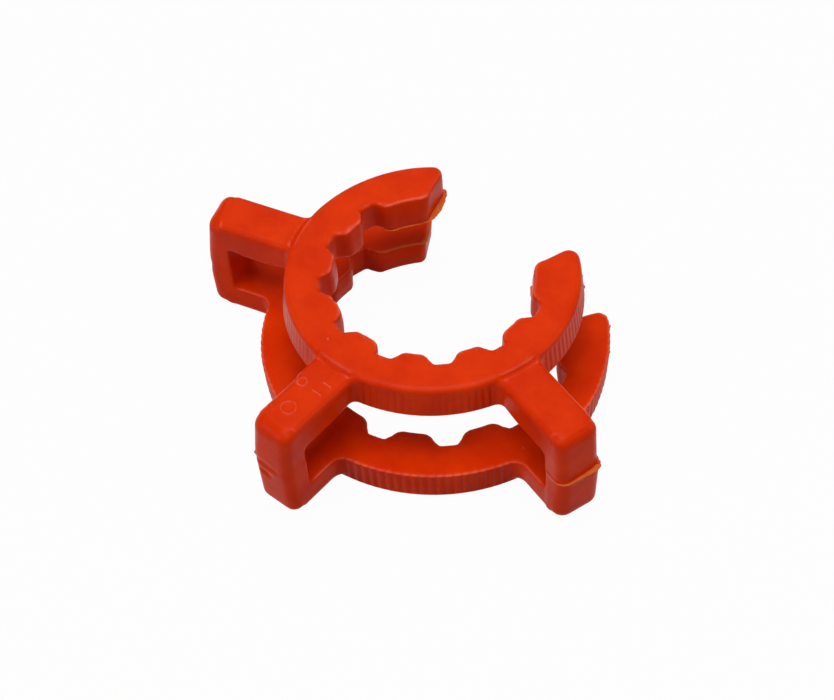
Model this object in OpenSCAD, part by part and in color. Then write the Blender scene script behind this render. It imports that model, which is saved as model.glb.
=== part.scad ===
// Push-on clip for a size 29/32 ground glass joint, moulded in one piece.
// Two open toothed rings stand one above the other, tied by three square loops.
// Z runs up the joint axis, the socket's rim rests on Z = 0, and the mouth opens towards +Y.

/* [Rings] */
// height of the clip, from the lower ring's foot to the upper ring's top
clip_h = 16.8; // [15.4:0.1:20]
// thickness of the upper ring along the axis
upper_t = 4.6; // [3.6:0.1:5.2]
// thickness of the lower ring along the axis
lower_t = 4.6; // [3.6:0.1:5.2]
// outside radius of the upper ring at its bottom edge, where it is widest
upper_outer_r = 19.35; // [18.5:0.05:20.2]
// outside radius of the lower ring at its top edge, where it is widest
lower_outer_r = 22.95; // [22:0.05:24]
// how far a ring's outside wall leans in over its height
wall_draft = 0.5; // [0.2:0.05:0.8]
// rounding of the upper ring's outside top edge
top_round = 0.85; // [0.4:0.05:1.2]
// rounding of the lower ring's outside foot edge
foot_round = 0.5; // [0.2:0.05:0.5]
// rounding of the tooth edges of both rings
inner_round = 0.5; // [0.2:0.05:0.7]

/* [Grip] */
// radius over the upper teeth, which hold the cone's tube
upper_grip_r = 12.75; // [11.5:0.05:13.2]
// radius over the lower teeth, which hold the socket below its rim
lower_grip_r = 16.2; // [15.6:0.05:17.2]
// height of the straight part of a tooth
tooth_land = 2.2; // [1.5:0.1:2.8]
// how far a tooth leans back over the rest of its height
tooth_draft = 0.3; // [0.1:0.05:0.9]
// number of notches between the teeth of one ring
notch_count = 8; // [4:2:8]
// angle from one notch to the next
notch_pitch_deg = 29.8; // [24:0.1:30]
// depth of an upper notch from the grip radius
upper_notch_d = 1.6; // [1:0.05:2.6]
// width of an upper notch at its floor
upper_notch_w = 2.5; // [1.6:0.05:3]
// depth of a lower notch from the grip radius
lower_notch_d = 1.8; // [1:0.05:2.8]
// width of a lower notch at its floor
lower_notch_w = 2.75; // [1.6:0.05:3]
// corner radius at the floor of a notch
notch_round = 0.45; // [0.1:0.05:0.6]

/* [Mouth] */
// half width of the upper mouth at the grip radius
upper_mouth_half = 9; // [7:0.1:9.6]
// half width of the lower mouth at the grip radius
lower_mouth_half = 11.5; // [9:0.1:12.2]
// lean of the upper end faces away from the mouth's middle line
upper_flare_deg = 17; // [0:0.5:28]
// lean of the lower end faces away from the mouth's middle line
lower_flare_deg = 31; // [0:0.5:38]
// corner radius at the outside of a ring's end
tip_outer_r = 1.5; // [0.5:0.1:1.8]
// corner radius at the inside of a ring's end
tip_inner_r = 0.7; // [0.3:0.1:1]

/* [Loops] */
// angle from the middle loop to each side loop
loop_deg = 74.2; // [62:0.1:80]
// width of a loop
loop_w = 6.1; // [4.8:0.1:7]
// reach of a loop from the axis at mid height, where it is widest
loop_reach = 31.7; // [29:0.1:35]
// lean of the loop's outside wall, inwards from mid height to its top and to its bottom
loop_lean_deg = 3.5; // [0:0.1:9]
// distance from the axis to the inside of a loop's upright
window_reach = 28.1; // [25.5:0.1:28.5]
// how far a loop's top lies below the upper ring's top
top_step = 0.3; // [0.1:0.05:0.8]
// how far a loop's bottom lies above the lower ring's foot
foot_step = 0.6; // [0.6:0.05:1]
// rounding of a loop's long edges
loop_round = 0.95; // [0.4:0.05:1.3]
// rounding of a loop's upright edges and of its outside top and bottom edges
corner_round = 1.4; // [0.4:0.05:1.7]
// corner radius in a loop's window
window_round = 0.6; // [0.2:0.05:1]
// fillet where a loop leaves a ring
root_fillet = 0.8; // [0.3:0.1:2.4]

/* [Gate mark] */
// width of the shallow mark on the middle loop's upright
mark_w = 2.1; // [1:0.1:3]
// height of that mark
mark_h = 1.5; // [0.8:0.1:2]
// depth of that mark
mark_d = 0.35; // [0.1:0.05:0.6]
// distance from the upright's widest line down to that mark
mark_drop = 0.25; // [0.1:0.05:1.2]

/* [View] */
// node to draw

/* [Hidden] */
$fn = 96;
small_fn = 20;
margin = 2;
slot_z0 = lower_t;
seat_z = slot_z0;
slot_z1 = clip_h - upper_t;
mid_z = (slot_z0 + slot_z1) / 2;
loop_z0 = foot_step;
loop_z1 = clip_h - top_step;
upper_top_r = upper_outer_r - wall_draft;
lower_foot_r = lower_outer_r - wall_draft / 2;
mid_loop_deg = 270;
// corner roundings pass this far beyond the faces they meet, so that they cross them
cross_gap = 0.02;
// the root fillets stop a little short of the rounded edges above and below them
fillet_gap = 0.1;
fillet_z0 = max(loop_z0 + loop_round, foot_round) + fillet_gap;
fillet_z1 = min(loop_z1 - loop_round, clip_h - top_round) - fillet_gap;
upper_back_r = upper_grip_r + tooth_draft;
lower_back_r = lower_grip_r + tooth_draft;
tooth_lean_deg = atan(tooth_draft / (upper_t - tooth_land));
lower_lean_deg = atan(tooth_draft / (lower_t - tooth_land));

// Sliver left outside an edge rounding. side is +1 on an outside wall and -1 on an inside wall,
// up is +1 for a top edge and -1 for a foot edge, lean is the wall's draft angle.
// The rounding is drawn a trace outside the edge, so that it crosses both of its faces.
module edge_shave(x, z, r, lean, side, up) {
  shave(x + side * cross_gap, z + up * cross_gap, r, lean, side, up);
}

// The same sliver for a rounding that touches the two faces at x and z.
module shave(x, z, r, lean, side, up) {
  t = r * tan(45 - lean / 2);
  cx = x - side * t;
  cz = z - up * r;
  wx = x + side * t * sin(lean);
  wz = z - up * t * cos(lean);
  difference() {
    polygon([
      [cx, cz],
      [cx, z + up * r],
      [x + side * r, z + up * r],
      [wx + side * r * cos(lean), wz + up * r * sin(lean)]
    ]);
    translate([cx, cz])
      circle(r, $fn = small_fn);
  }
}

// Section of the upper ring: sharp parting edge at the bottom, rounded top.
module upper_section() {
  difference() {
    polygon([
      [upper_grip_r, slot_z1],
      [upper_outer_r, slot_z1],
      [upper_top_r, clip_h],
      [upper_back_r, clip_h],
      [upper_grip_r, slot_z1 + tooth_land]
    ]);
    edge_shave(upper_top_r, clip_h, top_round, atan(wall_draft / upper_t), 1, 1);
    edge_shave(upper_back_r, clip_h, inner_round, tooth_lean_deg, -1, 1);
  }
}

// Section of the lower ring: sharp parting edge at the top, rounded foot.
module lower_section() {
  difference() {
    polygon([
      [lower_back_r, 0],
      [lower_foot_r, 0],
      [lower_outer_r, slot_z0],
      [lower_grip_r, slot_z0],
      [lower_grip_r, slot_z0 - tooth_land]
    ]);
    edge_shave(lower_foot_r, 0, foot_round, atan((lower_outer_r - lower_foot_r) / lower_t), 1, -1);
    edge_shave(lower_back_r, 0, inner_round, lower_lean_deg, -1, -1);
  }
}

// Plan of one notch, cut from the grip radius outwards, with rounded floor corners.
module notch_plan(grip, depth, floor_w) {
  floor_r = grip + depth;
  half = floor_w / 2;
  side_slope = 0.45;
  inner = grip - margin;
  union() {
    polygon([
      [inner, -half - side_slope * (floor_r - inner)],
      [floor_r - notch_round, -half],
      [floor_r, -half + notch_round],
      [floor_r, half - notch_round],
      [floor_r - notch_round, half],
      [inner, half + side_slope * (floor_r - inner)]
    ]);
    for (s = [-1, 1])
      translate([floor_r - notch_round, s * (half - notch_round)])
        circle(notch_round, $fn = small_fn);
  }
}

// Row of notches, even about the middle loop.
module notch_row(grip, depth, floor_w) {
  for (i = [0 : notch_count - 1])
    rotate(mid_loop_deg + (i - (notch_count - 1) / 2) * notch_pitch_deg)
      notch_plan(grip, depth, floor_w);
}

// Corner of a ring's end on the +X side, outside a circle that touches the end face and the wall.
// wall_r is the wall's radius, side is +1 at the outside wall and -1 at the tooth side.
module tip_corner(grip, half, flare, wall_r, r, side) {
  y0 = sqrt(grip * grip - half * half);
  nx = cos(flare);
  ny = -sin(flare);
  offset_d = half * nx + y0 * ny + r;
  track_r = wall_r - side * r;
  along = sqrt(track_r * track_r - offset_d * offset_d);
  cx = offset_d * nx + along * sin(flare);
  cy = offset_d * ny + along * cos(flare);
  far = (wall_r + side * margin) / track_r;
  corner_along = along + side * (r + margin);
  difference() {
    polygon([
      [cx, cy],
      [cx - (r + margin) * nx, cy - (r + margin) * ny],
      [
        (offset_d - r - margin) * nx + corner_along * sin(flare),
        (offset_d - r - margin) * ny + corner_along * cos(flare)
      ],
      [cx * far, cy * far]
    ]);
    translate([cx, cy])
      circle(r, $fn = 2 * small_fn);
  }
}

// Plan of a ring's mouth: an opening that widens outwards, with the four end corners rounded.
module mouth_plan(grip, half, flare, outer_r) {
  y0 = sqrt(grip * grip - half * half);
  lean = tan(flare);
  reach = outer_r + 2 * margin;
  union() {
    polygon([
      [-half + y0 * lean, 0],
      [half - y0 * lean, 0],
      [half + (reach - y0) * lean, reach],
      [-half - (reach - y0) * lean, reach]
    ]);
    for (m = [0, 1])
      mirror([m, 0]) {
        tip_corner(grip, half, flare, outer_r + cross_gap, tip_outer_r, 1);
        tip_corner(grip, half, flare, grip - cross_gap, tip_inner_r, -1);
      }
  }
}

// Upper ring, which grips the cone's tube.
module upper_ring() {
  difference() {
    rotate_extrude()
      upper_section();
    translate([0, 0, slot_z1 - margin])
      linear_extrude(upper_t + 2 * margin) {
        notch_row(upper_grip_r, upper_notch_d, upper_notch_w);
        mouth_plan(upper_grip_r, upper_mouth_half, upper_flare_deg, upper_outer_r);
      }
  }
}

// Lower ring, which grips the socket below its rim.
module lower_ring() {
  difference() {
    rotate_extrude()
      lower_section();
    translate([0, 0, -margin])
      linear_extrude(lower_t + 2 * margin) {
        notch_row(lower_grip_r, lower_notch_d, lower_notch_w);
        mouth_plan(lower_grip_r, lower_mouth_half, lower_flare_deg, lower_outer_r);
      }
  }
}

// Side view of the half of a loop above or below mid height, around the window.
// It starts at inner_x, inside the rings' walls. up is +1 for the upper half and -1 for the lower.
module loop_side(inner_x, up) {
  edge_z = (up > 0) ? loop_z1 + cross_gap : loop_z0 - cross_gap;
  edge_x = loop_reach - abs(edge_z - mid_z) * tan(loop_lean_deg);
  low_z = min(mid_z, edge_z);
  difference() {
    translate([inner_x, low_z])
      square([loop_reach + margin - inner_x, abs(edge_z - mid_z)]);
    shave(edge_x, edge_z, corner_round, loop_lean_deg, 1, up);
    window_side(inner_x);
  }
}

// Leaning prism that gives half a loop its outside wall and its two rounded upright edges.
module loop_wall(up) {
  plan_l = 2 * loop_reach;
  translate([loop_reach, 0, mid_z])
    rotate([0, -up * loop_lean_deg, 0])
      translate([-plan_l / 2, 0, -clip_h])
        linear_extrude(2 * clip_h)
          soft_rect(plan_l, loop_w + 2 * cross_gap, corner_round);
}

// The window in a loop, rounded at its two outer corners.
module window_side(inner_x) {
  union() {
    polygon([
      [inner_x - margin, slot_z0],
      [window_reach - window_round, slot_z0],
      [window_reach, slot_z0 + window_round],
      [window_reach, slot_z1 - window_round],
      [window_reach - window_round, slot_z1],
      [inner_x - margin, slot_z1]
    ]);
    for (z = [slot_z0 + window_round, slot_z1 - window_round])
      translate([window_reach - window_round, z])
        circle(window_round, $fn = small_fn);
  }
}

// Rectangle with rounded corners, centred on the origin.
module soft_rect(w, h, r) {
  union() {
    square([w - 2 * r, h], center = true);
    square([w, h - 2 * r], center = true);
    for (x = [-1, 1])
      for (y = [-1, 1])
        translate([x * (w / 2 - r), y * (h / 2 - r)])
          circle(r, $fn = small_fn);
  }
}

// Solid of half a loop along +X. A side view, an end view and a leaning prism meet in it,
// so all its outside edges are round.
module half_loop(inner_x, up) {
  loop_h = loop_z1 - loop_z0;
  intersection() {
    translate([0, loop_w, 0])
      rotate([90, 0, 0])
        linear_extrude(2 * loop_w)
          loop_side(inner_x, up);
    translate([inner_x - margin, 0, loop_z0 + loop_h / 2])
      rotate([90, 0, 90])
        linear_extrude(loop_reach)
          soft_rect(loop_w, loop_h, loop_round);
    loop_wall(up);
  }
}

// Fillets in plan at the root of a loop, against a ring wall of radius wall_r.
module root_plan(wall_r) {
  track = wall_r + root_fillet;
  cy = loop_w / 2 + root_fillet;
  cx = sqrt(track * track - cy * cy);
  for (m = [0, 1])
    mirror([0, m])
      difference() {
        polygon([
          [wall_r - margin, loop_w / 2 - margin / 2],
          [cx, loop_w / 2 - margin / 2],
          [cx, cy],
          [cx * wall_r / track, cy * wall_r / track],
          [(cx - margin) * wall_r / track, cy * wall_r / track]
        ]);
        translate([cx, cy])
          circle(root_fillet, $fn = small_fn);
      }
}

// One loop along +X with its root fillets. The upper bar starts inside the upper ring,
// the lower bar inside the lower ring.
module loop() {
  upper_start = upper_grip_r + upper_notch_d + 1;
  lower_start = lower_grip_r + lower_notch_d + 1;
  difference() {
    union() {
      half_loop(upper_start, 1);
      half_loop(upper_start, -1);
    }
    translate([0, 0, -margin])
      cylinder(h = slot_z1, r = lower_start);
  }
  translate([0, 0, slot_z1])
    linear_extrude(fillet_z1 - slot_z1)
      root_plan(upper_top_r);
  translate([0, 0, fillet_z0])
    linear_extrude(slot_z0 - fillet_z0)
      root_plan(lower_foot_r);
}

// Shallow rectangular mark in the middle loop's upright, below its widest line.
module gate_mark() {
  mark_z = mid_z - mark_drop - mark_h;
  mark_x = loop_reach - (mid_z - mark_z) * tan(loop_lean_deg);
  rotate(mid_loop_deg)
    translate([mark_x - mark_d, -mark_w / 2, mark_z])
      cube([3 * margin, mark_w, mark_h]);
}

// The whole clip, one moulded piece.
module clip() {
  color([0.8, 0.15, 0.06])
    translate([0, 0, -seat_z])
      difference() {
        union() {
          upper_ring();
          lower_ring();
          for (a = [-loop_deg, 0, loop_deg])
            rotate(mid_loop_deg + a)
              loop();
        }
        gate_mark();
      }
}

clip();
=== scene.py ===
# Dressed scene of the ground glass joint clip. The frame's solid is turned into one moulded skin
# with soft edges, ribs, parting ledges and flash, and is lit on a plain pale floor.
import math

import bpy
import numpy as np
import openvdb as vdb
from mathutils import Matrix, Vector


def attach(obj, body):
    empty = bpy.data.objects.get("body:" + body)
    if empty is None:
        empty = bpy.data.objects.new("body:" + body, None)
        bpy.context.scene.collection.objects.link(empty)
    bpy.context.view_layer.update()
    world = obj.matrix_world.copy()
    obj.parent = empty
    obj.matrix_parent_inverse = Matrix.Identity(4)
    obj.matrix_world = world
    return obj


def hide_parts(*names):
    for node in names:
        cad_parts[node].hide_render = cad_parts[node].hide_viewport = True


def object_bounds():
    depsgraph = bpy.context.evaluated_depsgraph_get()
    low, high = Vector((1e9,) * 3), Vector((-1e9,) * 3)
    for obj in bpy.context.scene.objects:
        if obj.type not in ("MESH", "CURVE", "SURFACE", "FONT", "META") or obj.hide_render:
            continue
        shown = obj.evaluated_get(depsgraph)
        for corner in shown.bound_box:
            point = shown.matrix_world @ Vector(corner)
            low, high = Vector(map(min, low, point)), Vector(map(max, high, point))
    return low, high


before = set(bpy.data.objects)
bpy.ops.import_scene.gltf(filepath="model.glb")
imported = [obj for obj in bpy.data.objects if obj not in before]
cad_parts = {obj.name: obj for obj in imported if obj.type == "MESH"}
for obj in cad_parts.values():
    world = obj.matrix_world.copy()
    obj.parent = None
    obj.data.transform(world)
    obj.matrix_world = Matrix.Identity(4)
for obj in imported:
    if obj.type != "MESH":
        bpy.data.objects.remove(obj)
cad_lo, cad_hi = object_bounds()

# ---------------------------------------------------------------- the frame's solid, in mm
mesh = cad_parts["clip"].data
mesh.calc_loop_triangles()
points = np.zeros(len(mesh.vertices) * 3, np.float32)
mesh.vertices.foreach_get("co", points)
points = points.reshape(-1, 3) * 1000
triangles = np.zeros(len(mesh.loop_triangles) * 3, np.int32)
mesh.loop_triangles.foreach_get("vertices", triangles)
triangles = triangles.reshape(-1, 3).astype(np.uint32)

# ---------------------------------------------------------------- sizes of the clip, in mm
TOP = round(float(points[:, 2].max()), 2)  # top of the upper ring
FOOT = round(float(points[:, 2].min()), 2)  # foot of the lower ring, whose top face is at 0
RING_H = -FOOT  # height of either ring
UPPER_Z0 = TOP - RING_H  # underside of the upper ring
MID_Z = (TOP + FOOT) / 2  # where the loops are widest
UPPER_R = (19.35, 18.85)  # radius of the outside wall, at a ring's bottom and at its top
LOWER_R = (22.7, 22.95)
UPPER_GRIP = 12.75  # radius over the teeth
LOWER_GRIP = 16.2
TOOTH_LAND = 2.2  # height of a tooth's straight part
TOOTH_DRAFT = 0.3  # how far a tooth leans back over the rest of its height
UPPER_FLOOR = 14.35  # radius to the floors of the notches
LOWER_FLOOR = 18.0
UPPER_NOTCH_HALF = 1.25  # half width of a notch at its floor
LOWER_NOTCH_HALF = 1.375
NOTCH_SLOPE = 0.45  # how fast a notch widens towards the axis
NOTCH_DEGS = [270 + (i - 3.5) * 29.8 for i in range(8)]
LOOPS = {"left_back": 195.8, "front_left": 270.0, "front_right": 344.2}
FR, FL, LB = LOOPS["front_right"], LOOPS["front_left"], LOOPS["left_back"]
LOOP_REACH = round(-float(points[:, 1].min()), 2)  # from the axis to a loop's widest line
LOOP_HALF = 3.05  # half width of a loop
LOOP_LEAN = math.radians(3.5)  # lean of a loop's outside wall
LOOP_ROUND = 1.4  # rounding of a loop's outer edges
LOOP_TOP = TOP - 0.3
LOOP_FOOT = FOOT + 0.6
WINDOW_REACH = 28.1  # from the axis to the inside of a loop's upright
BAR_DROP = 0.42  # how much lower than the ring a loop's upper bar hangs
RIB_PITCH = 360 / 132  # degrees from rib to rib
RIB_PHASE = -77.3  # angle of one groove between two ribs
PARTING_Z = 4.05  # where the fin on the front right loop's parting line is laid
FIN_STEP = 0.13  # from point to point along a fin

# ---------------------------------------------------------------- the distance grid
VOXEL = 0.15  # size of a cell
PAD = 8  # empty cells round the solid
BAND = 7  # cells on each side of the surface that hold true distances
REDRAWN_BAND = 9  # the same, where the distances are made again
NOWHERE = 9  # in mm, the distance given to what doesn't count
FLATTEN = 0.017  # joins flat stretches, so that the skin stays under 200 thousand triangles


def smooth(a, lo, hi):
    """0 below lo, 1 above hi, with a soft ramp between."""
    t = np.clip((a - lo) / (hi - lo), 0, 1)
    return t * t * (3 - 2 * t)


def between(a, lo0, lo1, hi0, hi1):
    """1 between two soft limits, 0 outside them."""
    return smooth(a, lo0, lo1) * (1 - smooth(a, hi0, hi1))


def bell(a, width):
    """A soft peak of 1 at 0."""
    return np.exp(-((a / width) ** 2))


def blur(a, sigma):
    """Soft blur of a grid, sigma in cells."""
    n = max(1, int(math.ceil(2.5 * sigma)))
    w = np.exp(-0.5 * (np.arange(-n, n + 1) / sigma) ** 2)
    w = (w / w.sum()).astype(np.float32)
    for axis in range(3):
        padded = np.pad(a, [(n, n) if k == axis else (0, 0) for k in range(3)], mode="edge")
        out = np.zeros_like(a)
        size = a.shape[axis]
        for i, wi in enumerate(w):
            cut = [slice(None)] * 3
            cut[axis] = slice(i, i + size)
            out += wi * padded[tuple(cut)]
        a = out
    return a


place = vdb.createLinearTransform(voxelSize=VOXEL)
solid = vdb.FloatGrid.createLevelSetFromPolygons(
    points, triangles=triangles, transform=place, exBandWidth=float(BAND), inBandWidth=float(BAND)
)
lo = np.floor(points.min(0) / VOXEL).astype(int) - PAD
hi = np.ceil(points.max(0) / VOXEL).astype(int) + PAD
corner_cell = tuple(int(v) for v in lo)
grid = np.full(tuple(hi - lo + 1), BAND * VOXEL, np.float32)
solid.copyToArray(grid, ijk=corner_cell)
x, y, z = (((np.arange(n) + start) * VOXEL).astype(np.float32) for n, start in zip(grid.shape, lo))
X, Y = np.meshgrid(x, y, indexing="ij")
R = np.hypot(X, Y)
THETA = np.degrees(np.arctan2(Y, X))


def along(deg, cx=X, cy=Y):
    """Coordinates out from the axis and sideways, for a loop at an angle."""
    c, s = math.cos(math.radians(deg)), math.sin(math.radians(deg))
    return cx * c + cy * s, -cx * s + cy * c


def plan_point(deg, u, v=0.0):
    """Plan point that lies u out from the axis and v sideways, for a loop at an angle."""
    c, s = math.cos(math.radians(deg)), math.sin(math.radians(deg))
    return u * c - v * s, u * s + v * c


def region(x0, x1, y0, y1, z0=-9.0, z1=19.0):
    """Slices of the grid inside a box in mm."""
    cuts = []
    for axis, a, b in ((x, x0, x1), (y, y0, y1), (z, z0, z1)):
        i = np.nonzero((axis >= a) & (axis <= b))[0]
        cuts.append(slice(int(i[0]), int(i[-1]) + 1))
    return tuple(cuts)


def around(px, py, half, z0, z1):
    """Slices of the grid round an upright line."""
    return region(px - half, px + half, py - half, py + half, z0, z1)


def loop_box(deg, u0=24.5, u1=33, half=4.5):
    """Slices of the grid round a part of a loop."""
    xs, ys = zip(*[plan_point(deg, u, v) for u in (u0, u1) for v in (-half, half)])
    return region(min(xs), max(xs), min(ys), max(ys))


def columns(box):
    """Plan coordinates of a box's columns, and its heights."""
    cx, cy = np.meshgrid(x[box[0]], y[box[1]], indexing="ij")
    return cx, cy, z[box[2]][None, None, :]


def tall(plan):
    """A plan array that can be combined with heights."""
    return plan[:, :, None]


def rounded(r, *parts):
    """Distance to where all the parts overlap, with their shared edges rounded to r."""
    grown = [np.asarray(q) + r for q in parts]
    square = sum(np.maximum(g, 0) ** 2 for g in grown)
    top = grown[0]
    for g in grown[1:]:
        top = np.maximum(top, g)
    return np.sqrt(square) - r + np.minimum(top, 0)


def fillet(a, b, r):
    """Distance to what fills the inside corner of two walls up to a radius r."""
    return np.maximum(r, np.minimum(a, b)) - np.hypot(np.maximum(r - a, 0), np.maximum(r - b, 0))


def sample(field, gx, gy, gz):
    """Trilinear reading of a grid at coordinates in cells."""
    out = 0
    fx, fy, fz = (np.floor(g).astype(int) for g in (gx, gy, gz))
    wx, wy, wz = gx - fx, gy - fy, gz - fz
    fx, fy, fz = (np.clip(f, 0, n - 2) for f, n in zip((fx, fy, fz), field.shape))
    for a in (0, 1):
        for b in (0, 1):
            for c in (0, 1):
                w = (wx if a else 1 - wx) * (wy if b else 1 - wy) * (wz if c else 1 - wz)
                out = out + w * field[fx + a, fy + b, fz + c]
    return out


def new_distance(field, level):
    """True distances again from one level of a grid."""
    g = vdb.FloatGrid()
    g.transform = place
    g.copyFromArray(np.ascontiguousarray(field), ijk=corner_cell, tolerance=0.0)
    p, t, q = g.convertToPolygons(isovalue=level, adaptivity=0.0)
    band = float(REDRAWN_BAND)
    made = vdb.FloatGrid.createLevelSetFromPolygons(
        p, triangles=t, quads=q, transform=place, exBandWidth=band, inBandWidth=band
    )
    out = np.full(field.shape, REDRAWN_BAND * VOXEL, np.float32)
    made.copyToArray(out, ijk=corner_cell)
    return out


def upper_wall(zz):
    """Radius of the upper ring's outside wall at a height."""
    return UPPER_R[0] + (UPPER_R[1] - UPPER_R[0]) * (zz - UPPER_Z0) / RING_H


def lower_wall(zz):
    """Radius of the lower ring's outside wall at a height."""
    return LOWER_R[0] + (LOWER_R[1] - LOWER_R[0]) * (zz - FOOT) / RING_H


def tooth_lean(past_land):
    """How far a tooth stands back, at a distance past its land."""
    return TOOTH_DRAFT * np.clip(past_land / (RING_H - TOOTH_LAND), 0, 1)


def upper_bore(zz):
    """Radius over the upper teeth at a height."""
    return UPPER_GRIP + tooth_lean(zz - UPPER_Z0 - TOOTH_LAND)


def lower_bore(zz):
    """Radius over the lower teeth at a height."""
    return LOWER_GRIP + tooth_lean(-TOOTH_LAND - zz)


# ---------------------------------------------------------------- ring ends
def stretch_end(box, deg):
    """Lengthens a ring's end by a turned copy of itself."""
    cx, cy, zz = columns(box)
    heights = zz.ravel()
    turned_x, turned_y = plan_point(deg, cx, cy)
    moved = sample(
        grid,
        np.repeat((turned_x / VOXEL - lo[0]).ravel(), len(heights)),
        np.repeat((turned_y / VOXEL - lo[1]).ravel(), len(heights)),
        np.tile(heights / VOXEL - lo[2], cx.size),
    ).reshape(cx.shape + (len(heights),))
    np.minimum(grid[box], moved, out=grid[box])


def ring_end(upper, inner, outer, side, r_out, r_in, lean=0.0):
    """Ends a ring at the plane through two plan points, with rounded upright edges."""
    box = region(-19, -5.5, 6, 18.5) if side < 0 else region(5.5, 19, 6, 18.5)
    cx, cy, zz = columns(box)
    t = np.array(outer, float) - np.array(inner, float)
    t /= np.hypot(*t)
    end = tall(side * ((cy - inner[1]) * t[0] - (cx - inner[0]) * t[1])) - lean * zz
    rad = tall(np.hypot(cx, cy))
    if upper:
        wall, bore, here = upper_wall(zz), upper_bore(zz), zz > MID_Z
    else:
        wall, bore, here = lower_wall(zz), lower_bore(zz), zz <= MID_Z
    cut = np.maximum(rounded(r_out, end, rad - wall), rounded(r_in, end, bore - rad))
    # only the end itself is trimmed: the walls' own faces stay
    cut = np.where((end > -2.6) & here, cut, -NOWHERE)
    np.maximum(grid[box], cut, out=grid[box])


# the left ends reach a little further into the mouth than the right ones, as moulded
stretch_end(region(-18.5, -6.0, 5.5, 18.5), 1.3)
stretch_end(region(6.0, 18.5, 5.5, 18.5), -0.6)
ring_end(True, (-9.05, 10.2), (-10.1, 14.2), -1, 1.9, 0.8)
ring_end(True, (9.32, 10.24), (10.57, 13.64), 1, 1.9, 0.9)
ring_end(False, (-11.5, 11.6), (-13.75, 15.5), -1, 1.6, 0.8, 0.045)
ring_end(False, (13.42, 14.98), (14.22, 16.18), 1, 1.5, 0.8)


# ---------------------------------------------------------------- teeth
def notch_flank(half, floor, u, v):
    """Distance into a tooth from the flank of the notch beside it."""
    return tall((half + NOTCH_SLOPE * (floor - u) - v) / math.hypot(1, NOTCH_SLOPE))


def soft_tooth_corners(upper, r):
    """Rounds the upright edges where a tooth turns into a notch."""
    if upper:
        grip, floor, half, span = UPPER_GRIP, UPPER_FLOOR, UPPER_NOTCH_HALF, (MID_Z, TOP + 1)
    else:
        grip, floor, half, span = LOWER_GRIP, LOWER_FLOOR, LOWER_NOTCH_HALF, (FOOT - 1, MID_Z)
    for deg in NOTCH_DEGS:
        box = around(*plan_point(deg, grip), 4, *span)
        cx, cy, zz = columns(box)
        u, v = along(deg, cx, cy)
        rad = tall(np.hypot(cx, cy))
        bore = (upper_bore(zz) if upper else lower_bore(zz)) - rad
        flank = notch_flank(half, floor, u, np.abs(v))
        near = (rad < grip + 1.3) & tall(np.abs(v) < 3.3)
        grid[box] = np.where(near, np.maximum(grid[box], rounded(r, flank, bore)), grid[box])


def widen_tooth(deg, side, fill, push):
    """Moves one upper notch's flank into the notch, and the tooth beside it inwards."""
    box = around(*plan_point(deg, UPPER_GRIP), 4, UPPER_Z0 - 0.5, TOP + 1)
    cx, cy, zz = columns(box)
    u, v = along(deg, cx, cy)
    rad = tall(np.hypot(cx, cy))
    bore = upper_bore(zz) - push - rad
    flank = notch_flank(UPPER_NOTCH_HALF - fill, UPPER_FLOOR, u, side * v)
    tooth = np.maximum(rounded(0.5, flank + 0 * zz, bore, zz - TOP), UPPER_Z0 - zz)
    here = tall((side * v > 0) & (np.abs(v) < 3.6)) & (rad < UPPER_FLOOR + 0.6)
    np.minimum(grid[box], np.where(here, tooth, NOWHERE), out=grid[box])


soft_tooth_corners(True, 0.5)
soft_tooth_corners(False, 0.65)
widen_tooth(NOTCH_DEGS[3], -1, 0.5, 0.28)
widen_tooth(NOTCH_DEGS[4], -1, 0.4, 0.12)
widen_tooth(NOTCH_DEGS[6], 1, 0.45, 0.0)

# The mould's parting faces keep their crisp edges, the far faces are softer.
FAR_ROUND = 0.42
opened = new_distance(grid, -FAR_ROUND) - FAR_ROUND
far = smooth(z, 9.2, 10.0) + (1 - smooth(z, -2.6, -1.8))
grid = grid + (np.maximum(opened, grid) - grid) * far[None, None, :].astype(np.float32)

# the upper teeth's top edges are crisper: they are drawn again from the plan at the land
land_cell = int(round((UPPER_Z0 + 1.4) / VOXEL)) - lo[2]
above_land = slice(int(round((UPPER_Z0 + 2.6) / VOXEL)) - lo[2], None)
zz = z[None, None, above_land]
crisp = rounded(0.22, tall(grid[:, :, land_cell]) + tooth_lean(zz - UPPER_Z0 - TOOTH_LAND), zz - TOP)
crisp = np.where(tall(R < 15.8), crisp, NOWHERE).astype(np.float32)
np.minimum(grid[:, :, above_land], crisp, out=grid[:, :, above_land])


# ---------------------------------------------------------------- loops
def loop_hull(u, v, zz, r):
    """Distance to a loop's outside, without its window, with edges rounded to r."""
    lid = np.maximum(zz - LOOP_TOP, LOOP_FOOT - zz)
    c, s = math.cos(LOOP_LEAN), math.sin(LOOP_LEAN)
    end = (u - LOOP_REACH) * c + np.abs(zz - MID_Z) * s
    return rounded(r, lid, end, np.abs(v) - LOOP_HALF)


def fill_roots(deg, upper_r, lower_r):
    """Fillets where a loop's two bars leave the rings, over the bars' full height."""
    box = loop_box(deg, 16, 25, 7)
    cx, cy, zz = columns(box)
    v = along(deg, cx, cy)[1]
    rad = tall(np.hypot(cx, cy))
    b = tall(np.abs(v) - LOOP_HALF)
    for r, wall, lid, seat in (
        (upper_r, upper_wall(zz), zz - LOOP_TOP, UPPER_Z0 - zz),
        (lower_r, lower_wall(zz), LOOP_FOOT - zz, zz),
    ):
        a = rad - wall
        body = np.maximum(rounded(0.9, fillet(a, b, r), lid), seat)
        here = (a > -1.2) & (b > -1.2) & (a < r) & (b < r)
        np.minimum(grid[box], np.where(here, body, NOWHERE), out=grid[box])


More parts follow.
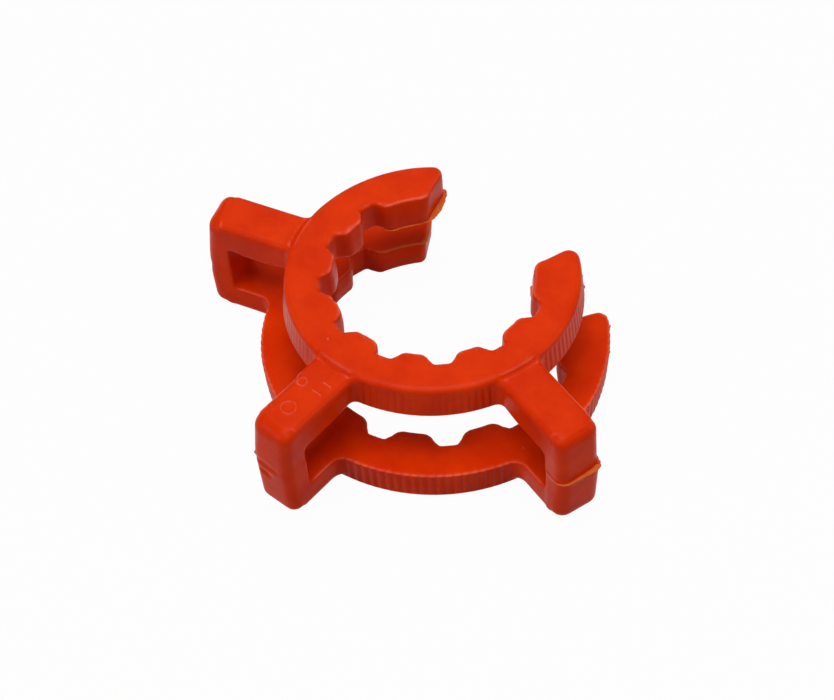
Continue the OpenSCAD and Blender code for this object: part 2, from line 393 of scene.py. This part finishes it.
def thicken_bar(deg):
    """Lets a loop's upper bar hang a little lower than the ring, with a soft window corner."""
    box = loop_box(deg, 18, 30)
    cx, cy, zz = columns(box)
    u, v = along(deg, cx, cy)
    drop = BAR_DROP * smooth(u, 19.4, 22.5)
    corner = 1.2
    if deg == LB:
        drop = drop * (1 - smooth(u, 25.5, 28))
        corner = 0.6
    side = tall(np.abs(v) - LOOP_HALF)
    b = tall(UPPER_Z0 - drop) - zz
    bar = np.maximum(rounded(0.25, b, side), zz - (UPPER_Z0 + 1))
    bar = np.where(tall((u > 19.3) & (u < 29)), bar, NOWHERE)
    a = tall(WINDOW_REACH - u)
    here = (a > -1) & (b > -1) & (a < corner) & (b < corner)
    web = np.where(here, np.maximum(fillet(a, b, corner), side + 0.1), NOWHERE)
    np.minimum(grid[box], np.minimum(bar, web), out=grid[box])


def soften_edge(deg, side, r):
    """Gives one long top edge of a loop a larger rounding."""
    box = loop_box(deg, 18.5, 33)
    cx, cy, zz = columns(box)
    u, v = along(deg, cx, cy)
    edge = rounded(r, zz - LOOP_TOP, tall(side * v - LOOP_HALF))
    edge = np.where(tall((u > 19.9) & (side * v > 0)) & (zz > 9), edge, -NOWHERE)
    edge = edge - 2.0 * tall(1 - smooth(u, 21.3, 22.6))
    np.maximum(grid[box], edge, out=grid[box])


# height of the mould's parting line at each plan point, and half the height over which it blurs
LINE, SOFT = np.full(X.shape, MID_Z), np.full(X.shape, 0.06)


def dress_loop(deg, side, up, r, line_z, step, lip, tilt, soft):
    """Rounds one outer corner of a loop to r and steps its upright at the parting line."""
    box = loop_box(deg)
    cx, cy, zz = columns(box)
    u, v = (tall(a) for a in along(deg, cx, cy))
    n = np.array([1, side, up]) / math.sqrt(3)
    corner = np.array([LOOP_REACH - 0.85, side * LOOP_HALF, LOOP_TOP if up > 0 else LOOP_FOOT])
    out = (u - corner[0]) * n[0] + (v - corner[1]) * n[1] + (zz - corner[2]) * n[2]
    hull = loop_hull(u, v, zz, LOOP_ROUND + (r - LOOP_ROUND) * smooth(out, -4.2, -1.2))
    part = np.maximum(grid[box], hull - 0.8 * (1 - smooth(u, 28.4, 29.6)))
    # the lower half steps out, and a lip with a groove above it marks the line
    line = line_z + tilt[0] * v + tilt[1] * v ** 2
    upright = smooth(u, 28.2, 28.7)
    part = part - step * smooth(line - zz, -0.06, 0.06) * upright
    height, width, groove = lip
    part = part - height * bell(zz - line + 0.8 * width, width) * upright
    grid[box] = part + groove * bell(zz - line - 0.14, 0.13) * upright
    u, v = along(deg)
    mine = (u > 24) & (np.abs(v) < 4.5)
    LINE[mine] = (line_z + tilt[0] * v + tilt[1] * v ** 2)[mine]
    SOFT[mine] = soft


soften_edge(FL, -1, 1.5)
dress_loop(FR, -1, -1, 1.6, line_z=4.25, step=0.12, lip=(0.13, 0.16, 0.05), tilt=(0.06, 0.02), soft=0.06)
dress_loop(FL, -1, 1, 1.9, line_z=4.9, step=0.0, lip=(0.0, 0.26, 0.0), tilt=(0.03, 0.0), soft=0.7)
dress_loop(LB, 1, 1, 1.9, line_z=MID_Z, step=0.05, lip=(0.0, 0.26, 0.0), tilt=(0.0, 0.0), soft=0.3)
for deg in LOOPS.values():
    fill_roots(deg, 0.8, 1.3)
    thicken_bar(deg)

# the gate mark of the frame is filled here and pressed again below, softer
box = region(-1.4, 1.4, -32.6, -30.0, 1.6, 4.2)
cx, cy, zz = columns(box)
u, v = along(FL, cx, cy)
np.minimum(grid[box], loop_hull(tall(u), tall(v), zz, LOOP_ROUND), out=grid[box])


# ---------------------------------------------------------------- the moulding's small errors
def pulled(layer, px, py):
    """A slice of the grid read at displaced plan points, in mm."""
    gx, gy = (X + px) / VOXEL - lo[0], (Y + py) / VOXEL - lo[1]
    ix = np.clip(np.floor(gx).astype(int), 0, layer.shape[0] - 2)
    iy = np.clip(np.floor(gy).astype(int), 0, layer.shape[1] - 2)
    wx, wy = (gx - ix).astype(np.float32), (gy - iy).astype(np.float32)
    low_y = layer[ix, iy] * (1 - wx) + layer[ix + 1, iy] * wx
    high_y = layer[ix, iy + 1] * (1 - wx) + layer[ix + 1, iy + 1] * wx
    return low_y * (1 - wy) + high_y * wy


# how far the teeth stand further in, by the angle round the upper ring
TEETH_IN = {20: 0, 30: 0.12, 60: 0.12, 120: 0.07, 180: 0.1, 220: 0.22, 228: 0.14, 236: 0.0,
            252: -0.05, 257: 0.14, 276: 0.12, 284: 0.05, 292: 0}
turn_deg = THETA % 360
# a move is positive where the surface goes towards the axis
teeth = np.interp(turn_deg, list(TEETH_IN), list(TEETH_IN.values()))
floors = 0.1 * smooth(THETA, -56, -50)
left_wall = between(turn_deg, 125, 140, 190, 205) * between(R, 17, 18.5, 20, 22)
upper_move = (
    teeth * (1 - smooth(R, 13.6, 14.6)) - floors * between(R, 13.6, 14.6, 15.4, 17.0) - 0.1 * left_wall
)
left_side = between(turn_deg, 150, 165, 225, 240)
right_side = between(turn_deg, 8, 24, 60, 62)
lower_wall_move = (0.1 * left_side - 0.2 * right_side) * between(R, 19, 21.5, 24, 26)
lower_move = 0.09 * (1 - smooth(R, 17.0, 18.0)) - lower_wall_move
# the left back loop's lower half stands out further
u, v = along(LB)
loop_end = smooth(u, 28.4, 30.2) * (np.abs(v) < 4.5)
outwards = plan_point(LB, 1)
# and the mould's lower half sat a little askew, below the parting lines
SLIP = (-0.10, -0.08)
radial = np.stack([X, Y]) / np.maximum(R, 1)
for k, height in enumerate(z):
    low = smooth(LINE - height, -SOFT, SOFT)
    swell = 0.3 * smooth(MID_Z - height, 0, 3.0) * (1 - 0.5 * smooth(-height, 2.6, 4.6)) * loop_end
    move = upper_move * (1 - low) + lower_move * low
    px, py = (radial[i] * move + SLIP[i] * low - outwards[i] * swell for i in (0, 1))
    grid[:, :, k] = pulled(grid[:, :, k], px, py)

# a last softening of every edge
grid = blur(grid, 0.9)


# ---------------------------------------------------------------- ribs
def cut_ribs(wall, depth, where, upright):
    """Cuts upright grooves into a ring's outside wall, so that ribs stand between them."""
    near = 1 - smooth(np.abs(tall(R) - wall[None, None, :]), 0.5, 0.8)
    grid[...] += depth * tall(where) * near * upright[None, None, :]


groove = (0.5 + 0.5 * np.cos(2 * np.pi * (THETA - RIB_PHASE) / RIB_PITCH)) ** 1.5
for deg in LOOPS.values():
    u, v = along(deg)
    groove = groove * np.where(u > 0, smooth(np.abs(v), 3.6, 4.2), 1)
# the upper ring's ribs are fainter between the two front loops and at the left
fade = 1 - 0.8 * between(THETA, -62, -57, -52, -46)
fade = fade * (1 - 0.6 * smooth(-THETA, 94, 100))
upper_span = between(z, UPPER_Z0 + 0.25, UPPER_Z0 + 0.7, 11.0, 11.6)
lower_span = between(z, -4.4, -3.9, 0.3, 0.5) * (1 - 0.75 * smooth(z, -0.55, -0.05))
cut_ribs(upper_wall(z), 0.11, groove * fade, upper_span)
cut_ribs(lower_wall(z), 0.13, groove, lower_span)


# ---------------------------------------------------------------- small moulded marks
def press(box, height):
    """Moves the surface out by a height."""
    grid[box] -= height.astype(np.float32)


# a fine groove along the foot of each bar's top face, and a rim on the ring beside it
for deg in LOOPS.values():
    box = around(*plan_point(deg, 19), 4, 10.8, 13)
    cx, cy, zz = columns(box)
    v = along(deg, cx, cy)[1]
    rad = np.hypot(cx, cy)
    across = 1 - smooth(np.abs(v), 2.3, 2.9)
    profile = 0.05 * bell(rad - UPPER_R[0], 0.22) - 0.25 * bell(rad - UPPER_R[1], 0.17)
    press(box, tall(profile * across) * (zz > 11.2))

# generic rings and dashes on the front left bar's top
box = region(-4, 4, -32.5, -19.5, 11.0, 13)
cx, cy = columns(box)[:2]
u, v = along(FL, cx, cy)


def ring_mark(u0, v0, r, width):
    """A raised ring."""
    return bell(np.hypot(u - u0, v - v0) - r, width)


def dash_mark(u0, v0, length, width):
    """A raised dash across the bar."""
    return bell(np.hypot(u - u0, v - np.clip(v, v0, v0 + length)), width)


marks = np.maximum.reduce([
    ring_mark(23.1, -1.45, 0.62, 0.17),
    dash_mark(21.6, 0.7, 1.2, 0.17),
    dash_mark(23.3, 0.5, 1.2, 0.17),
    ring_mark(27.1, -0.1, 0.95, 0.19),
])
press(box, tall(0.11 * marks))

# gate remnant on the front left upright: a soft dent, a ridge and a groove above it
box = region(-2.9, 2.9, -33.0, -30.0, 0.6, 6.4)
cx, cz = np.meshgrid(x[box[0]], z[box[2]], indexing="ij")


def gate_band(x0, x1, z0, slope, half):
    """Mask of a slanting band on the upright's end wall."""
    soft = 0.6
    away = np.abs(cz - z0 - slope * (cx - x0))
    return (1 - smooth(away, half, half + soft)) * between(cx, x0 - soft, x0 + soft, x1 - soft, x1 + soft)


gate = -0.2 * gate_band(-1.9, -0.2, 2.75, -0.1, 0.2)
gate = gate + 0.06 * gate_band(-2.2, 0.6, 3.95, -0.14, 0.05)
gate = gate - 0.07 * gate_band(-2.2, 1.2, 4.75, -0.1, 0.05)
press(box, gate[:, None, :])


def speck(px, py, pz, r, stretch=1.0):
    """A speck of flash standing on the surface."""
    box = around(px, py, 1.2, pz - 1.2, pz + 1.2)
    cx, cy, zz = columns(box)
    q = np.sqrt(tall((cx - px) ** 2 + (cy - py) ** 2) + ((zz - pz) / stretch) ** 2) - r
    h = np.clip(0.5 + 0.5 * (q - grid[box]) / 0.2, 0, 1)
    grid[box] = q * (1 - h) + grid[box] * h - 0.2 * h * (1 - h)


speck(*plan_point(FR, 31.4, 2.72), 4.6, 0.34)
speck(*plan_point(FL, 31.1, -2.65), 4.95, 0.24)
speck(12.8, 14.48, 7.7, 0.18)
speck(14.16, 13.12, 7.7, 0.2, 1.3)
speck(16.93, 15.33, -0.15, 0.19)
speck(19.5, 11.88, -0.15, 0.16)
speck(-3.25, -16.27, 12.2, 0.16)
speck(20.45, -7.28, 0.02, 0.14)

# ---------------------------------------------------------------- the skin
skin_grid = vdb.FloatGrid()
skin_grid.background = BAND * VOXEL
skin_grid.transform = place
skin_grid.copyFromArray(grid, ijk=corner_cell, tolerance=1e-6)
pts, tris, quads = skin_grid.convertToPolygons(isovalue=0.0, adaptivity=FLATTEN)
pts_mm = pts.astype(np.float64)


def read_at(field, p):
    """Reads a grid at points in mm."""
    g = p / VOXEL - lo
    return sample(field, g[:, 0], g[:, 1], g[:, 2])


def gradient_at(p):
    """Outward normals of the distance grid at points in mm."""
    normal = np.zeros_like(p)
    for axis in range(3):
        reach = np.zeros(3)
        reach[axis] = 0.75 * VOXEL
        normal[:, axis] = read_at(grid, p + reach) - read_at(grid, p - reach)
    return normal / np.maximum(np.linalg.norm(normal, axis=1, keepdims=True), 1e-9)


def make_mesh(name, verts_mm, faces, normals=None):
    """A smooth object in metres."""
    m = bpy.data.meshes.new(name)
    m.from_pydata((np.asarray(verts_mm) / 1000).tolist(), [], faces)
    m.validate()
    m.update()
    m.polygons.foreach_set("use_smooth", [True] * len(m.polygons))
    if normals is not None and len(m.vertices) == len(normals):
        m.normals_split_custom_set_from_vertices(normals.tolist())
    o = bpy.data.objects.new(name, m)
    bpy.context.scene.collection.objects.link(o)
    return o


normals = gradient_at(pts_mm)
# the faces have to look outwards
a, b, c = (pts[quads[:, i]] for i in range(3))
if np.median(np.sum(np.cross(b - a, c - a) * normals[quads[:, 0]], axis=1)) < 0:
    tris, quads = tris[:, ::-1], quads[:, ::-1]
skin = make_mesh("moulded_skin", pts, tris.tolist() + quads.tolist(), normals)

# how far each point lies on an upper outer edge, for the paler edges: a painted highlight where light
# catches them, partly rubbed wear
edge = read_at(blur(grid, 1.4), pts_mm) * smooth(normals[:, 2], 0.25, 0.75)
rub_and_highlight = skin.data.attributes.new("rub_and_highlight", "FLOAT", "POINT")
rub_and_highlight.data.foreach_set("value", smooth(edge, 0.02, 0.07).astype(np.float32))
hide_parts("clip")
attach(skin, "root")

# ---------------------------------------------------------------- flash: thin fins at the parting lines
rng = np.random.default_rng(7)


def resample(path, n):
    """Points at even distances along a path."""
    path = np.asarray(path, float)
    far = np.r_[0, np.cumsum(np.hypot(*np.diff(path, axis=0).T))]
    at = np.linspace(0, far[-1], n)
    return np.stack([np.interp(at, far, path[:, k]) for k in (0, 1)], axis=1)


def spread(values, n):
    """Values spread evenly over n points."""
    return np.interp(np.linspace(0, 1, n), np.linspace(0, 1, len(values)), values)


def arc(r, a0, a1, n=24):
    """Plan points of an arc round the axis."""
    return [plan_point(a, r) for a in np.linspace(a0, a1, n)]


def on_skin(path, level, off, n=24):
    """Plan path moved onto the skin at a level, then out by the given distances."""
    path = resample(path, n)
    off = spread(off, n)
    for _ in range(8):
        p3 = np.column_stack([path, np.full(n, level)])
        out = gradient_at(p3)[:, :2]
        path = path + out * 0.8 * (off - read_at(grid, p3))[:, None]
    return [tuple(q) for q in path]


def fin(free, held, level, thick, jag):
    """Thin fin between its free edge and an edge hidden in the solid, both plan paths."""
    length = np.hypot(*np.diff(np.asarray(free), axis=0).T).sum()
    n = max(8, int(length / FIN_STEP))
    edge, root = resample(free, n), resample(held, n)
    level = spread(level, n)
    rough = np.convolve(rng.normal(0, 1, n + 2), [0.3, 0.4, 0.3], mode="valid")
    rough[0] = rough[-1] = 0
    # the fin runs out to nothing at both ends
    run = np.linspace(0, length, n)
    shrink = smooth(np.minimum(run, length - run), -0.2, 1.1)[:, None]
    edge = root + (edge - root) * (0.3 + 0.7 * shrink)
    away = edge - root
    away /= np.maximum(np.hypot(*away.T), 1e-6)[:, None]
    edge = edge + away * (jag * rough)[:, None]
    verts, faces = [], []
    for i in range(n):
        z0 = level[i]
        middle = 0.55 * edge[i] + 0.45 * root[i]
        lift = 0.02 * math.sin(1.7 * i)
        low = ((root[i], z0), (middle, z0 + lift * 0.5), (edge[i], z0 + lift + thick * 0.3))
        high = ((edge[i], z0 + lift + thick * 0.7), (middle, z0 + thick), (root[i], z0 + thick * 1.3))
        verts += [(p[0], p[1], h) for p, h in low + high]
    sides = len(low) + len(high)
    for i in range(n - 1):
        for k in range(sides):
            a, b = i * sides + k, i * sides + (k + 1) % sides
            faces.append((a, a + sides, b + sides, b))
    faces.append(tuple(range(sides)))
    faces.append(tuple(range(n * sides - 1, (n - 1) * sides - 1, -1)))
    return verts, faces


# paths in plan, along a ring's end and its last tooth, or round the loop's upright
upper_left = [(-11.35, 15.72), (-10.56, 15.41), (-9.79, 14.61), (-9.22, 13.47), (-8.76, 12.23)]
upper_left += [(-8.57, 11.02), (-8.57, 9.98), (-9.05, 9.05), (-9.5, 8.33)] + arc(12.57, 139.5, 158, 12)
upper_left_root = [(-11.75, 14.9), (-11.2, 14.6), (-10.7, 14.0), (-10.4, 13.2), (-10.1, 12.1)]
upper_left_root += [(-9.9, 11.0), (-9.75, 10.3), (-9.8, 9.5), (-10.0, 8.95)] + arc(13.2, 139.0, 158, 12)
upper_right = [(8.6, 9.75), (8.37, 9.34), (8.9, 8.68), (10.42, 6.88), (11.12, 6.08), (11.8, 5.02)]
upper_right_root = [(9.8, 10.0), (9.7, 9.5), (9.9, 9.0), (11.0, 7.3), (11.6, 6.3), (12.2, 5.2)]
lower_left = arc(15.97, 158, 135.5) + [(-11.26, 11.85), (-12.1, 13.4), (-12.97, 14.85), (-13.6, 15.85)]
lower_left_root = arc(16.7, 158, 136.5) + [(-12.1, 12.0), (-12.8, 13.1), (-13.6, 14.4), (-14.2, 15.2)]
upright_line = [(29.6, -3.4), (30.7, -3.1), (31.4, -2.2), (31.6, 0.0), (31.6, 2.2), (31.2, 2.9)]
parting = [plan_point(FR, u, v) for u, v in upright_line]
parting_edge = on_skin(parting, PARTING_Z, (0.06, 0.1, 0.11, 0.12, 0.18, 0.26, 0.42, 0.5))
parting_root = on_skin(parting, PARTING_Z, (-0.5, -0.5))
parting_level = (3.95, 4.05, 4.15, 4.2, 4.25, 4.32, 4.48, 4.62)
UNDER_UPPER = (UPPER_Z0 - 0.04,) * 2
OVER_LOWER = (-0.14,) * 2

flash_verts, flash_faces = [], []
for free, held, level, thick, jag in (
    (upper_left, upper_left_root, UNDER_UPPER, 0.09, 0.07),
    (upper_right, upper_right_root, UNDER_UPPER, 0.08, 0.06),
    (lower_left, lower_left_root, OVER_LOWER, 0.07, 0.02),
    (parting_edge, parting_root, parting_level, 0.1, 0.03),
):
    verts, faces = fin(free, held, level, thick, jag)
    flash_faces += [tuple(i + len(flash_verts) for i in face) for face in faces]
    flash_verts += verts
flash = make_mesh("flash", flash_verts, flash_faces)
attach(flash, "root")


# ---------------------------------------------------------------- material
def red_plastic(name, dark, light, glow):
    """Moulded plastic with faint blotches, a painted highlight on the upper edges (partly rubbed wear)
    and an uneven gloss.
    """
    mat = bpy.data.materials.new(name)
    mat.use_nodes = True
    nt = mat.node_tree
    shader = nt.nodes["Principled BSDF"]
    link = nt.links.new

    def node(kind, **values):
        """A new node with some of its inputs set."""
        n = nt.nodes.new(kind)
        for k, v in values.items():
            n.inputs[k].default_value = v
        return n

    def noise(scale, detail, roughness):
        """A soft noise over the object."""
        n = node("ShaderNodeTexNoise", Scale=scale, Detail=detail, Roughness=roughness)
        link(where, n.inputs["Vector"])
        return n.outputs["Fac"]

    def drive(socket, source, old, new):
        """Sets an input of the shader from a value, stretched from an old span to a new one."""
        n = nt.nodes.new("ShaderNodeMapRange")
        for k, v in zip(("From Min", "From Max", "To Min", "To Max"), old + new):
            n.inputs[k].default_value = v
        link(source, n.inputs["Value"])
        link(n.outputs["Result"], shader.inputs[socket])

    where = nt.nodes.new("ShaderNodeTexCoord").outputs["Object"]
    blotch = noise(230.0, 3.0, 0.55)
    ramp = nt.nodes.new("ShaderNodeValToRGB")
    for stop, at, colour in zip(ramp.color_ramp.elements, (0.3, 0.72), (dark, light)):
        stop.position = at
        stop.color = colour
    link(blotch, ramp.inputs["Fac"])

    # paler on the upper edges, in patches: a painted highlight, partly rubbed wear; the mix node's
    # colours are sockets 6 and 7
    rub_and_highlight = nt.nodes.new("ShaderNodeAttribute")
    rub_and_highlight.attribute_name = "rub_and_highlight"
    patchy = nt.nodes.new("ShaderNodeMath")
    patchy.operation = "MULTIPLY"
    link(rub_and_highlight.outputs["Fac"], patchy.inputs[0])
    link(blotch, patchy.inputs[1])
    pale = nt.nodes.new("ShaderNodeMix")
    pale.data_type = "RGBA"
    link(patchy.outputs[0], pale.inputs[0])
    link(ramp.outputs["Color"], pale.inputs[6])
    pale.inputs[7].default_value = (0.93, 0.21, 0.13, 1)
    link(pale.outputs[2], shader.inputs["Base Color"])

    # uneven gloss and a surface that isn't quite flat
    fine = noise(2600.0, 4.0, 0.6)
    drive("Roughness", fine, (0.3, 0.7), (0.27, 0.38))
    wavy = node("ShaderNodeBump", Strength=0.16, Distance=0.0004)
    link(noise(420.0, 2.0, 0.5), wavy.inputs["Height"])
    grain = node("ShaderNodeBump", Strength=0.22, Distance=0.00006)
    link(fine, grain.inputs["Height"])
    link(wavy.outputs["Normal"], grain.inputs["Normal"])
    link(grain.outputs["Normal"], shader.inputs["Normal"])

    # the lower half mirrors the pale floor a little less than the upper half
    high = nt.nodes.new("ShaderNodeSeparateXYZ")
    link(where, high.inputs[0])
    drive("Specular IOR Level", high.outputs["Z"], (0.003, 0.006), (0.14, 0.27))
    shader.inputs["IOR"].default_value = 1.2
    shader.inputs["Subsurface Weight"].default_value = glow
    shader.inputs["Subsurface Radius"].default_value = (1.0, 0.12, 0.03)
    shader.inputs["Subsurface Scale"].default_value = 0.0012
    return mat


plastic = red_plastic("red_moulded_plastic", (0.66, 0.026, 0.0003, 1), (0.77, 0.04, 0.0006, 1), 0.12)
skin.data.materials.append(plastic)
# painted light: the fins' base colour is paler than the body's, so that the thin fins stay bright where
# they lie in shade
thin = red_plastic("flash_plastic_painted_lighter", (0.9, 0.12, 0.02, 1), (0.98, 0.2, 0.04, 1), 0.5)
flash.data.materials.append(thin)

# ---------------------------------------------------------------- camera
scene = bpy.context.scene
LENS_MM = 94.96403  # for a sensor 36 mm wide
DISTANCE = 278.17608  # mm along the view to the middle of the upper ring's top
SHIFT_RIGHT = 2.49006  # mm that this point lies right of the view's middle
SHIFT_UP = 9.58706  # and above it
ELEVATION = 0.891  # radians
ROLL = 0.057
turn = Matrix.Rotation(math.radians(42.598), 3, "Z")  # from the middle loop's side to the camera's

right = Vector((1, 0, 0))
up = Vector((0, math.sin(ELEVATION), math.cos(ELEVATION)))
view = Vector((0, math.cos(ELEVATION), -math.sin(ELEVATION)))
stand = turn @ (Vector((0, 0, TOP)) - SHIFT_RIGHT * right - SHIFT_UP * up - DISTANCE * view)
camera_x = turn @ (math.cos(ROLL) * right - math.sin(ROLL) * up)
camera_y = turn @ (math.sin(ROLL) * right + math.cos(ROLL) * up)
camera_z = -(turn @ view)
data = bpy.data.cameras.new("camera")
data.sensor_fit = "HORIZONTAL"
data.sensor_width = 36
data.lens = LENS_MM
data.clip_start, data.clip_end = 0.01, 10
camera = bpy.data.objects.new("camera", data)
scene.collection.objects.link(camera)
pose = Matrix((camera_x, camera_y, camera_z)).transposed().to_4x4()
pose.translation = stand / 1000
camera.matrix_world = pose
scene.camera = camera


# ---------------------------------------------------------------- floor, world and lamps
def pale_floor():
    """A matt floor that looks white to the camera and in mirrored light, and still takes a shadow."""
    mat = bpy.data.materials.new("pale_floor")
    mat.use_nodes = True
    nt = mat.node_tree
    link = nt.links.new
    matt = nt.nodes["Principled BSDF"]
    matt.inputs["Base Color"].default_value = (0.5, 0.5, 0.5, 1)
    matt.inputs["Roughness"].default_value = 0.7
    matt.inputs["Specular IOR Level"].default_value = 0.2
    white = nt.nodes.new("ShaderNodeEmission")
    white.inputs["Color"].default_value = (1, 1, 1, 1)
    white.inputs["Strength"].default_value = 1.0
    path = nt.nodes.new("ShaderNodeLightPath")
    seen = path.outputs["Is Camera Ray"]
    for kind in ("Is Glossy Ray", "Is Transmission Ray"):
        either = nt.nodes.new("ShaderNodeMath")
        either.operation = "MAXIMUM"
        link(seen, either.inputs[0])
        link(path.outputs[kind], either.inputs[1])
        seen = either.outputs[0]
    share = nt.nodes.new("ShaderNodeMath")
    share.operation = "MULTIPLY"
    share.inputs[1].default_value = 0.97
    link(seen, share.inputs[0])
    mix = nt.nodes.new("ShaderNodeMixShader")
    link(share.outputs[0], mix.inputs["Fac"])
    link(matt.outputs["BSDF"], mix.inputs[1])
    link(white.outputs["Emission"], mix.inputs[2])
    link(mix.outputs["Shader"], nt.nodes["Material Output"].inputs["Surface"])
    return mat


def plane(name, size, z_m):
    """A level square."""
    m = bpy.data.meshes.new(name)
    s = size / 2
    m.from_pydata([(-s, -s, z_m), (s, -s, z_m), (s, s, z_m), (-s, s, z_m)], [], [(0, 1, 2, 3)])
    o = bpy.data.objects.new(name, m)
    scene.collection.objects.link(o)
    return o


floor = plane("floor", 3.0, cad_lo.z - 0.00002)
floor.data.materials.append(pale_floor())

world = bpy.data.worlds.new("soft_world")
scene.world = world
world.use_nodes = True
background = world.node_tree.nodes["Background"]
background.inputs["Color"].default_value = (0.95, 0.97, 1.0, 1)
background.inputs["Strength"].default_value = 0.022

to_camera = turn @ Vector((0, -1, 0))
to_left = turn @ Vector((-1, 0, 0))


def softbox(name, left, ahead, height, size, power):
    """A square lamp aimed at the origin, placed in metres to the camera's left and towards it."""
    lamp = bpy.data.lights.new(name, "AREA")
    lamp.shape = "RECTANGLE"
    lamp.size = lamp.size_y = size
    lamp.energy = power
    o = bpy.data.objects.new(name, lamp)
    scene.collection.objects.link(o)
    o.location = to_left * left + to_camera * ahead + Vector((0, 0, height))
    o.rotation_mode = "QUATERNION"
    o.rotation_quaternion = (-o.location).to_track_quat("-Z", "Y")


softbox("key", 0.03, 0.04, 0.8, 0.6, 5.1)
softbox("sheen", 0.0, -0.75, 0.7, 0.8, 1.5)
softbox("left", 0.6, 0.3, 0.28, 0.4, 1.42)
softbox("right", -0.65, 0.15, 0.3, 0.4, 1.2)

scene.view_settings.view_transform = "Standard"
